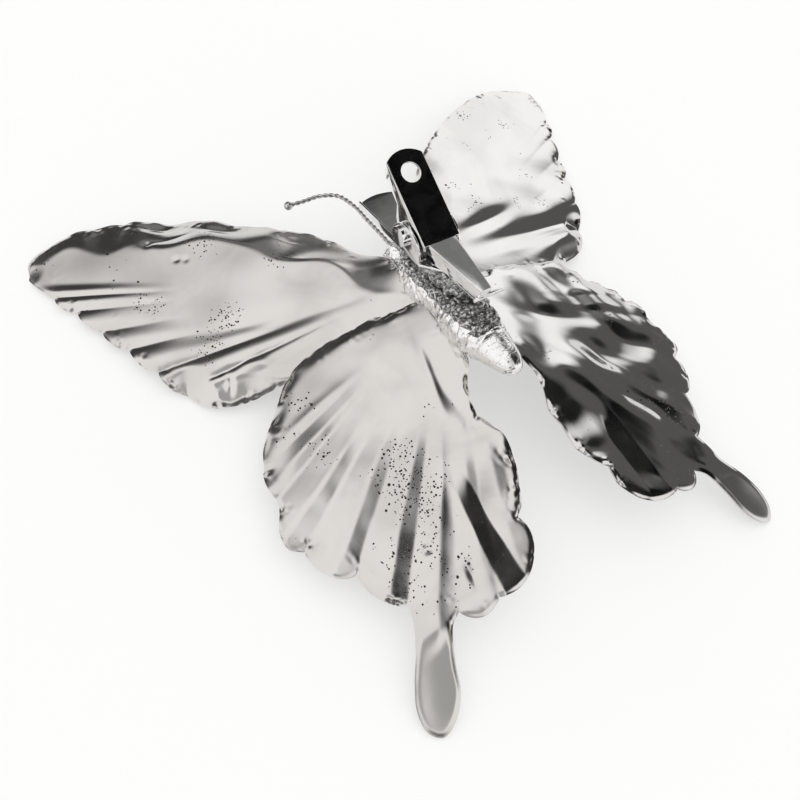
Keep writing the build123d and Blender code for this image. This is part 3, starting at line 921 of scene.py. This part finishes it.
@dataclass
class Hindwing(WingSheet):
    """Rear wing: a scalloped fan with a spoon-shaped tail, whose front laps over the forewing."""

    hub: Point2 = (0.0, 2.0)
    lap_front: float = 6.0
    lap_lift: float = 1.25
    lap_roll: float = 0.75
    lap_width: float = 1.3
    lift: float = 1.6
    lift_length: float = 14.0
    tail_start: float = -45.5
    tail_slope: float = 0.2
    tail_ease: float = 2.5
    flat_before: float = -56.0
    crimp_length: float = 9.0
    crest: float = 0.4
    step_height: float = 1.2
    step_ease: float = 0.45
    pleat_reach: Point2 = (18.0, 44.0)
    spoon_depth: float = 0.18
    step_line: tuple[Point2, Point2] = ((15.0, -25.0), (16.0, -46.6))
    notches: tuple[Point2, ...] = ((10.8, -43.8), (19.2, -46.6), (25.6, -45.2), (31.5, -40.2), (36.2, -31.9),
                                   (41.4, -24.4), (41.2, -14.4), (40.7, -8.6))

    def front_edge(self) -> np.ndarray:
        """Front edge from the outer notch to the root."""
        return smooth_path([(40.7, -8.6), (38.8, -4.8), (34.4, -0.4), (29.4, 4.2), (22.0, 6.0), (12.0, 5.6),
                            (2.5, 3.4)], self.rim_spacing * 1.5)

    def outline(self) -> np.ndarray:
        """Closed outline, anticlockwise from the root's front corner round the back."""
        step = self.rim_spacing * 1.5
        inner = smooth_path([(2.5, 3.4), (2.5, -3.0), (2.5, -10.0), (5.2, -14.4), (6.4, -18.8), (5.6, -22.8),
                             (4.9, -25.6), (5.6, -30.2), (7.8, -35.6), (9.7, -37.6)], step)
        rear = [lobe((9.7, -37.6), (10.8, -43.8), -0.9, step), lobe((10.8, -43.8), (19.2, -46.6), -1.6, step),
                lobe((19.2, -46.6), (25.6, -45.2), -1.9, step)]
        tail = smooth_path([(25.6, -45.2), (27.4, -46.4), (28.6, -48.6), (29.8, -51.6), (31.0, -55.2),
                            (33.2, -58.0),
                            (36.0, -59.3), (38.0, -57.4), (38.0, -54.0), (36.4, -50.4), (34.4, -47.2),
                            (32.6, -43.6),
                            (31.5, -40.2)], step)
        outer = [lobe((31.5, -40.2), (36.2, -31.9), -1.6, step),
                 lobe((36.2, -31.9), (41.4, -24.4), -2.0, step, 0.4),
                 smooth_path([(41.4, -24.4), (43.6, -22.6), (43.4, -19.4), (41.9, -16.6), (41.2, -14.4)],
                             step)[:-1],
                 lobe((41.2, -14.4), (40.7, -8.6), -0.8, step)]
        ring = np.vstack([inner[:-1], *rear, tail[:-1], *outer, self.front_edge()[:-1]])
        keep = np.linalg.norm(ring - np.roll(ring, 1, axis=0), axis=1) > 0.05
        return ring[keep]

    def pleats(self, points: np.ndarray) -> np.ndarray:
        """Height of the pleats, each with a short steep face towards the body and a long gentle one."""
        total = np.zeros(len(points))
        phase, ends = self.fold_phase(points, self.notches)
        for shift in (-0.05, -0.025, 0.0, 0.025, 0.05):
            p = (phase + shift) % 1.0
            total += np.where(p < self.crest, p / self.crest, (1 - p) / (1 - self.crest)) / 5
        full = smoothstep(self.flat_before - 6, self.flat_before + 4, self.angle(points))
        return self.fold_depth * total * ends * (0.22 + 0.78 * full)

    def worked(self, points: np.ndarray) -> np.ndarray:
        """Share of the rim's unevenness, which the plain tail has little of."""
        return 1 - 0.9 * smoothstep(-45.0, -48.0, points[:, 1])

    def stepped(self, points: np.ndarray) -> np.ndarray:
        """Drop along one steep fold near the body."""
        (x0, y0), (x1, y1) = self.step_line
        t = np.clip((points[:, 1] - y0) / (y1 - y0), 0.0, 1.0)
        middle = x0 + (x1 - x0) * t
        half = 1.2 + 0.9 * t
        face = np.clip((middle + half - points[:, 0]) / (2 * half), 0.0, 1.0)
        return -self.step_height * face * smoothstep(0.0, self.step_ease, t)

    def height(self, points: np.ndarray) -> np.ndarray:
        """Plane, lap over the forewing, pleats, drooping tail and ripple."""
        x, y = points.T
        behind = np.maximum(self.lap_front - y, 0.0)
        reach = self.reach(points)
        total = self.plane(points) + self.lap_lift + self.lift * (1 - np.exp(-behind / self.lift_length))
        beyond = np.maximum(self.tail_start - y, 0.0)
        total -= self.tail_slope * beyond**2 / (beyond + self.tail_ease)
        front = edge_distance(points, self.front_edge(), False)
        crimp = Ripple(self.seed + 5, 4.0).at(points)
        rolled = self.lap_roll * (1 + 0.25 * crimp) * np.exp(-((front / self.lap_width) ** 2))
        total -= rolled * smoothstep(2.0, 9.0, reach)
        on_tail = smoothstep(-45.5, -49.5, y)
        fan = self.pleats(points) * (1 - on_tail) * smoothstep(*self.pleat_reach, reach)
        total += fan * smoothstep(1.0, 7.0, front)
        total += self.stepped(points) * (1 - smoothstep(-2.0, 2.0, x - 24.0))
        middle = 28.8 + (-46.0 - y) * 0.42
        spoon = ((x - middle - 1.6) / 3.4) ** 2
        total += on_tail * self.spoon_depth * np.minimum(spoon, 1.6)
        ripple = Ripple(self.seed, self.crimp_length).at(points)
        ripple += 0.15 * Ripple(self.seed + 3, self.crimp_length / 2).at(points)
        return total + self.ripple_height * ripple * smoothstep(3.0, 16.0, reach) * (1 - 0.9 * on_tail)


# ---------------------------------------------------------------- body
@dataclass
class Body:
    """Cast body with its rough underside, the solder under the clip, and the antennae."""

    front: float = 19.6
    rear: float = -19.6
    seat: float = 2.6
    ring_pitch: float = 2.5
    smooth_rear: float = -13.5
    routes: dict[Side, list[Point3]] = field(default_factory=lambda: {
        Side.LEFT: [(1.1, 16.4, 1.4), (1.5, 20.8, 2.4), (1.9, 25.2, 3.2), (2.1, 29.4, 3.7), (3.3, 33.6, 4.1),
                    (6.4, 35.6, 4.1), (9.8, 35.9, 4.0), (13.0, 36.2, 4.0)],
        Side.RIGHT: [(1.1, 16.4, 1.4), (3.6, 19.7, 3.2), (6.4, 23.0, 5.0), (8.8, 24.8, 5.6),
                     (11.5, 26.2, 5.9)]})
    profile: tuple[Point2, ...] = ((-19.6, 0.0), (-19.2, 1.2), (-17.4, 2.3), (-15.0, 2.9), (-11.0, 3.8),
                                   (-7.0, 4.2),
                                   (-3.0, 3.9), (0.6, 3.2), (3.6, 3.9), (7.5, 4.4), (11.4, 3.7), (14.2, 2.3),
                                   (15.6, 2.5), (16.9, 2.75), (18.4, 2.3), (19.3, 1.1), (19.6, 0.0))

    def casting(self, material: bpy.types.Material) -> bpy.types.Object:
        """Head, thorax and ringed abdomen, turned from a profile and cut flat for the backing."""
        line = smooth_path(list(self.profile), 0.22)
        y, radius = line[:, 0], np.maximum(line[:, 1], 0.0)
        rings = 0.5 + 0.5 * np.cos(2 * np.pi * y / self.ring_pitch)
        radius = radius * (1 - 0.05 * rings**4 * smoothstep(-1.0, -3.0, y) * smoothstep(-14.0, -12.5, y))
        path = np.column_stack([np.zeros_like(y), y, np.zeros_like(y)])
        rows, faces = tube(path, np.maximum(radius, 0.02), 96)
        crumple = Ripple(31, 2.4, 40).at(rows) + 0.8 * np.abs(Ripple(32, 1.2, 48).at(rows))
        crumple *= 0.13 * smoothstep(self.smooth_rear, self.smooth_rear + 2.0, rows[:, 1])
        rows = rows * (1 + (crumple / 4.0)[:, None] * np.array([1.0, 0.0, 1.0]))
        under = smoothstep(-12.6, -11.6, rows[:, 1]) * smoothstep(14.6, 13.6, rows[:, 1])
        limit = self.seat + (6.0 - self.seat) * (1 - under)
        rows[:, 2] = np.minimum(rows[:, 2], limit)
        return add_object("butterfly_body", space.body(rows), faces, material)

    def eyes(self, material: bpy.types.Material) -> bpy.types.Object:
        """Two bead eyes on the sides of the head."""
        shapes = [ball((side * 2.05, 17.5, -0.3), (0.95, 1.15, 1.1), 20) for side in (-1, 1)]
        rows, faces = join_shapes(shapes)
        return add_object("butterfly_eyes", space.body(rows), faces, material)

    def rough_bed(self, name: str, centre: Point3, size: Point3, depth: float, seed: int,
                  material: bpy.types.Material) -> bpy.types.Object:
        """Crinkled lump of unpolished metal.

        Args:
            name: Name of the piece.
            centre: Its middle in body millimetres.
            size: Half its length along each axis.
            depth: Height of its unevenness.
            seed: Seed of its unevenness.
            material: Its finish.

        Returns:
            The lump.
        """
        rows, faces = ball((0, 0, 0), size, 110, 0.62)
        out = rows / np.array(size) ** 2
        out /= np.linalg.norm(out, axis=1)[:, None]
        crumple = Ripple(seed, 2.6, 40).at(rows) + 0.7 * np.abs(Ripple(seed + 1, 1.5, 40).at(rows))
        crumple += 0.35 * Ripple(seed + 2, 0.7, 48).at(rows)
        rows = rows + out * (depth * crumple)[:, None] + np.array(centre)
        return add_object(name, space.body(rows), faces, material)

    def antenna(self, side: Side, material: bpy.types.Material) -> bpy.types.Object:
        """Two twisted wires that end in a ball.

        Args:
            side: Which antenna.
            material: Its finish.

        Returns:
            The antenna.
        """
        mirror = np.array([side.value, 1.0, 1.0])
        path = smooth_path(self.routes[side], 0.14)
        run = np.concatenate([[0.0], np.cumsum(np.linalg.norm(np.diff(path, axis=0), axis=1))])
        tangent = np.gradient(path, axis=0)
        tangent /= np.linalg.norm(tangent, axis=1)[:, None]
        across = np.cross(tangent, [0.0, 0.0, 1.0])
        across /= np.linalg.norm(across, axis=1)[:, None]
        upward = np.cross(across, tangent)
        shapes = []
        for start in (0.0, math.pi):
            turn = (run * 2 * math.pi / 2.3 + start)[:, None]
            strand = path + 0.2 * (np.cos(turn) * across + np.sin(turn) * upward)
            shapes.append(tube(strand, np.full(len(strand), 0.235), 12))
        shapes.append(ball(tuple(path[-1]), (0.85, 0.85, 0.85), 16))
        rows, faces = join_shapes(shapes)
        return add_object(f"antenna_{side.label}_twist", space.body(rows * mirror), faces, material)

    def build(self, cast: bpy.types.Material, rough: bpy.types.Material, solder: bpy.types.Material,
              wire: bpy.types.Material) -> None:
        """Builds the body's pieces and puts them on the ornament."""
        casting = self.casting(cast)
        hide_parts("body_casting")
        backing = self.rough_bed("rough_backing", (0.0, 1.0, 3.1), (3.7, 12.7, 1.15), 0.16, 51, rough)
        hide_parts("underside_backing")
        bed = self.rough_bed("solder_lump", (0.0, 3.6, 5.6), (2.5, 7.7, 2.0), 0.2, 61, solder)
        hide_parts("solder_bed")
        settle_piece(casting, "ornament")
        settle_piece(self.eyes(cast), "ornament")
        settle_piece(backing, "ornament")
        settle_piece(bed, "ornament")
        for side in Side:
            antenna = self.antenna(side, wire)
            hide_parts(f"antenna_{side.label}")
            settle_piece(antenna, "ornament")


def settle_piece(piece: bpy.types.Object, body: str) -> None:
    """Puts a piece on a body and reports it."""
    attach(piece, body)
    log.info("%s rides on %s, %d corners", piece.name, body, len(piece.data.vertices))


# ---------------------------------------------------------------- clip
@dataclass
class Clip:
    """The alligator clip: pressed base and lever with softened edges, and the spring between them."""

    edge_round: float = 0.09
    wire: float = 0.275
    coil_radius: float = 1.5
    turns: float = 5.5
    pitch: float = 0.75

    def pressing(self, node: str, name: str, material: bpy.types.Material) -> bpy.types.Object:
        """Pressed half of the clip, with every sharp edge rounded.

        Args:
            node: CAD node that gives the shape.
            name: Name of the piece.
            material: Its finish.

        Returns:
            The piece.
        """
        shape = bmesh.new()
        shape.from_mesh(frame["nodes"][node].data)
        bmesh.ops.remove_doubles(shape, verts=shape.verts, dist=0.000001)
        bmesh.ops.dissolve_limit(shape, angle_limit=math.radians(1.0), verts=shape.verts, edges=shape.edges)
        sharp = [edge for edge in shape.edges
                 if len(edge.link_faces) == 2 and edge.calc_face_angle() > math.radians(28)]
        bmesh.ops.bevel(shape, geom=sharp, offset=self.edge_round * MM, offset_type="OFFSET", segments=3,
                        profile=0.5, affect="EDGES", clamp_overlap=True)
        bmesh.ops.triangulate(shape, faces=[face for face in shape.faces if len(face.verts) > 4])
        mesh = bpy.data.meshes.new(name)
        shape.to_mesh(mesh)
        shape.free()
        mesh.shade_smooth()
        mesh.set_sharp_from_angle(angle=math.radians(32))
        mesh.materials.append(material)
        piece = bpy.data.objects.new(name, mesh)
        bpy.context.scene.collection.objects.link(piece)
        return piece

    def spring(self, material: bpy.types.Material) -> bpy.types.Object:
        """Coil round the hinge line with one leg on each half of the clip."""
        y, z = Space.HINGE
        length = self.turns * self.pitch
        turn = np.linspace(0.0, 2 * np.pi * self.turns, int(self.turns * 40))
        coil = np.column_stack([np.linspace(-length / 2, length / 2, len(turn)), y - self.coil_radius
                                * np.sin(turn),
                                z + self.coil_radius * np.cos(turn)])
        upper = np.linspace([coil[0, 0], y + 3.9, z + 7.9], coil[0] + [0.0, 0.5, 0.4], 14)
        lower = np.linspace(coil[-1] + [0.0, 0.6, -0.1], [coil[-1, 0], y + 7.5, 8.36], 14)
        path = smooth_path([tuple(p) for p in np.vstack([upper[::3], coil[1::6], lower[::3]])], 0.12)
        rows, faces = tube(path, np.full(len(path), self.wire), 14)
        return add_object("torsion_spring", space.body(rows), faces, material)

    def build(self, plating: bpy.types.Material, steel: bpy.types.Material) -> None:
        """Builds the clip's pieces and puts the base and the lever on their bodies."""
        base = self.pressing("clip_base", "clip_base_pressing", plating)
        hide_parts("clip_base")
        settle_piece(base, "ornament")
        lever = self.pressing("clip_lever", "clip_lever_pressing", plating)
        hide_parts("clip_lever")
        settle_piece(lever, "lever")
        spring = self.spring(steel)
        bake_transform(spring)
        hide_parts("clip_spring")
        log.info("%s blends from lever to ornament", spring.name)


# ---------------------------------------------------------------- studio
@dataclass(frozen=True)
class Card:
    """Round soft-edged card in the sky: its direction, the angles where it is full and gone, and its tone."""

    direction: Point3
    inner: float
    outer: float
    tone: float


@dataclass
class Studio:
    """Pale floor, soft light all round with dark and bright cards in it, and the camera."""

    eye: Point3 = (-64.19, -58.23, 113.39)
    right: Point3 = (0.8455, -0.5164, 0.1358)
    up: Point3 = (0.4007, 0.7818, 0.4778)
    lens: float = 36.0
    light: float = 1.1
    cards: tuple[Card, ...] = (
        Card((0.05, 0.98, 0.16), 0.58, 1.04, 0.035),
        Card((0.91, 0.10, 0.36), 0.34, 0.62, 0.10),
        Card((0.47, -0.19, 0.86), 0.34, 0.60, 0.003),
        Card((-0.35, -0.35, 0.87), 0.16, 0.32, 0.42),
        Card((-0.45, -0.85, 0.15), 0.30, 0.62, 0.08),
        Card((0.48, 0.63, 0.62), 0.28, 0.46, 0.18),
        Card((0.77, 0.56, 0.31), 0.17, 0.35, 1.15),
    )

    def camera(self) -> None:
        """Places the camera."""
        data = bpy.data.cameras.new("camera")
        data.sensor_width = 36.0
        data.lens = self.lens
        data.clip_start = 0.001
        camera = bpy.data.objects.new("camera", data)
        bpy.context.scene.collection.objects.link(camera)
        right, up = Vector(self.right).normalized(), Vector(self.up).normalized()
        back = right.cross(up)
        matrix = camera.matrix_world.to_3x3()
        for row in range(3):
            matrix[row] = (right[row], up[row], back[row])
        camera.matrix_world = matrix.to_4x4()
        camera.location = Vector(space.level(np.array([self.eye]))[0])
        bpy.context.scene.camera = camera

    def floor(self) -> None:
        """Lays the floor under the lowest point of the object."""
        rows, faces = [], []
        sides = 96
        for ring, radius in enumerate((0.0, 0.4, 1.2, 3.0)):
            for k in range(sides):
                turn = 2 * math.pi * k / sides
                rows.append((radius * math.cos(turn), radius * math.sin(turn), 0.0))
                if ring:
                    after = (k + 1) % sides
                    low = (ring - 1) * sides
                    faces.append((low + k, low + after, ring * sides + after, ring * sides + k))
        floor = add_object("floor", np.array(rows), faces, FloorFinish().material())

    def world(self) -> None:
        """Lights the scene with a soft white dome, and with cards that only reflections see."""
        world = bpy.data.worlds.new("studio")
        world.use_nodes = True
        bpy.context.scene.world = world
        nodes = Nodes(world.node_tree)
        background = world.node_tree.nodes["Background"]
        place = nodes.add("ShaderNodeTexCoord")
        level = None
        for card in self.cards:
            dot = nodes.add("ShaderNodeVectorMath", operation="DOT_PRODUCT")
            nodes.link(place.outputs["Generated"], dot.inputs[0])
            dot.inputs[1].default_value = Vector(card.direction).normalized()
            mask = nodes.spread(dot.outputs["Value"], math.cos(card.outer), math.cos(card.inner), 0.0, 1.0)
            away = nodes.math("SUBTRACT", 1.0, mask)
            kept = away if level is None else nodes.math("MULTIPLY", level, away)
            level = nodes.math("ADD", kept, nodes.math("MULTIPLY", mask, card.tone))
        seen = nodes.add("ShaderNodeLightPath")
        plain = nodes.math("SUBTRACT", 1.0, seen.outputs["Is Glossy Ray"])
        mirrored = nodes.math("MULTIPLY", level, seen.outputs["Is Glossy Ray"])
        strength = nodes.math("ADD", mirrored, plain)
        nodes.link(nodes.math("MULTIPLY", strength, self.light), background.inputs["Strength"])
        background.inputs["Color"].default_value = (1.0, 0.995, 0.985, 1.0)

    def build(self) -> None:
        """Sets up floor, light and camera."""
        bpy.context.scene.view_settings.view_transform = "Standard"
        self.camera()
        self.floor()
        self.world()


# ---------------------------------------------------------------- assembly
class WingSet:
    """The four wings, each with its own finish and its own dents; the left pair's silver is painted shade, a
    darker copy of the right pair's lit tone.
    """

    PITTED = {
        "fore": ((30.8, 37.4, 5.0), (44.9, 42.4, 5.0), (43.2, 32.8, 6.5), (19.3, 27.2, 5.5),
                 (32.8, 20.7, 5.0),
                 (38.7, 18.8, 5.5)),
        "hind": ((21.9, -20.9, 9.0), (23.3, -29.7, 10.0), (29.3, -35.2, 8.0), (22.8, -39.8, 9.0),
                 (30.9, -1.7, 5.0),
                 (31.4, -10.7, 6.5)),
    }
    FORE_DENTS = {
        Side.LEFT: [Dent((36.4, 46.9), 3.2, 1.25, 32.0, -0.55), Dent((26.4, 39.0), 3.6, 1.2, 38.0, -0.5),
                    Dent((15.6, 30.2), 2.6, 1.0, 42.0, -0.45), Dent((36.0, 41.7), 4.2, 0.6, 14.0, -0.22),
                    Dent((39.5, 42.3), 0.8, 0.7, 0.0, -0.35), Dent((36.2, 36.1), 0.55, 0.45, 20.0, -0.22),
                    Dent((34.8, 35.2), 0.5, 0.5, 0.0, -0.15), Dent((33.0, 9.6), 3.2, 1.1, 35.0, 0.3),
                    Dent((38.6, 9.0), 1.8, 0.8, 115.0, -0.35), Dent((41.2, 10.2), 1.6, 0.7, 80.0, 0.35),
                    Dent((22.0, 13.0), 9.0, 1.1, 12.0, -0.22), Dent((30.0, 17.0), 8.0, 1.4, 16.0, -0.25)],
        Side.RIGHT: [Dent((38.0, 13.5), 14.0, 1.9, 4.0, -1.0), Dent((40.0, 9.0), 10.0, 1.6, 8.0, 0.5),
                     Dent((22.0, 17.6), 7.0, 1.5, 14.0, -0.5), Dent((53.0, 30.0), 2.0, 1.0, 60.0, -0.3)],
    }
    HIND_DENTS = {
        Side.LEFT: [Dent((20.9, -41.9), 2.3, 0.9, 96.0, -0.36), Dent((9.5, -8.0), 5.5, 0.7, 100.0, 0.26),
                    Dent((8.2, -18.0), 6.0, 1.6, 80.0, -0.4), Dent((25.0, -34.5), 0.8, 0.8, 0.0, -0.32)],
        Side.RIGHT: [Dent((10.0, -17.0), 14.0, 8.0, -35.0, 1.5), Dent((16.0, -24.0), 10.0, 2.4, -58.0, 0.5),
                     Dent((27.0, -20.0), 11.0, 2.6, -42.0, -0.7), Dent((33.0, -14.0), 8.0, 2.0, -30.0, 0.5),
                     Dent((22.0, -9.0), 9.0, 2.0, -22.0, -0.55), Dent((27.0, -28.0), 8.0, 1.8, -50.0, 0.5)],
    }

    def _pitted(self, side: Side, kind: str, share: float) -> tuple[tuple[Point3, float], ...]:
        """Centres and reaches, in metres, of a wing's pitted patches.

        Args:
            side: Side of the wing.
            kind: Which wing of that side.
            share: Share of the full reach.

        Returns:
            The patches.
        """
        out = []
        for x, y, reach in self.PITTED[kind]:
            level = WingSheet.root_level - WingSheet.drop * x + WingSheet.rise * y
            level += Hindwing.lift if kind == "hind" else 0.0
            out.append((tuple(space.level(np.array([[x * side.value, y, level]]))[0]), reach * share * MM))
        return tuple(out)

    def build(self) -> None:
        """Builds the wings and puts them on the ornament."""
        # Painted light: one silver plating gets a darker, warmer tone on the left wings as a shaded copy and a
        # paler tone on the right wings as a lit copy.
        shaded_and_lit_tones = {Side.LEFT: ((0.66, 0.645, 0.625), (0.60, 0.585, 0.565)),
                 Side.RIGHT: ((0.70, 0.69, 0.68), (0.64, 0.63, 0.62))}
        polish = {Side.LEFT: (0.15, 0.25), Side.RIGHT: (0.06, 0.14)}
        for side in Side:
            share = 1.0 if side is Side.LEFT else 0.5
            for kind in ("fore", "hind"):
                finish = SheetFinish(f"{kind}wing_silver_{side.label}", *shaded_and_lit_tones[side], *polish[side],
                                     self._pitted(side, kind, share))
                if kind == "fore":
                    depth, slope = (0.58, 0.56) if side is Side.LEFT else (0.12, 0.1)
                    rim = 0.24 if side is Side.LEFT else 0.1
                    wing = Forewing(side, 100 + side.value, 0.05, depth, self.FORE_DENTS[side],
                                    roll_slope=slope,
                                    rim_drop=rim)
                else:
                    depth, ripple, length = (0.8, 0.04, 9.0) if side is Side.LEFT else (0.34, 0.24, 12.0)
                    wing = Hindwing(side, 200 + side.value, ripple, depth, self.HIND_DENTS[side],
                                    crimp_length=length)
                piece = wing.build(f"{kind}wing_{side.label}_sheet", finish.material())
                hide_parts(f"{kind}wing_{side.label}")
                settle_piece(piece, "ornament")


def main() -> None:
    """Builds the studio and every piece of the ornament."""
    logging.basicConfig(level=logging.INFO, format="%(message)s")
    Studio().build()
    WingSet().build()
    cast = CastFinish("body_plating", (0.86, 0.85, 0.84), (0.16, 0.155, 0.15), 1500.0, 0.00005, 0.10, 0.24,
                      0.16)
    rough = CastFinish("rough_plating", (0.80, 0.79, 0.78), (0.10, 0.098, 0.095), 1900.0, 0.00014, 0.16,
                       0.4, -0.02)
    solder = CastFinish("solder_skin", (0.60, 0.60, 0.60), (0.20, 0.20, 0.20), 1300.0, 0.00016)
    wire = CastFinish("wire_plating", (0.62, 0.61, 0.60), (0.40, 0.39, 0.38), 1600.0, 0.00003, 0.12, 0.3)
    Body().build(cast.material(), rough.material(), solder.material(), wire.material())
    Clip().build(PlatedFinish("clip_nickel", (0.90, 0.90, 0.90), 0.03, 0.08).material(),
                 PlatedFinish("spring_wire", (0.5, 0.5, 0.51), 0.2, 0.35).material())


if __name__ == "__main__":
    main()
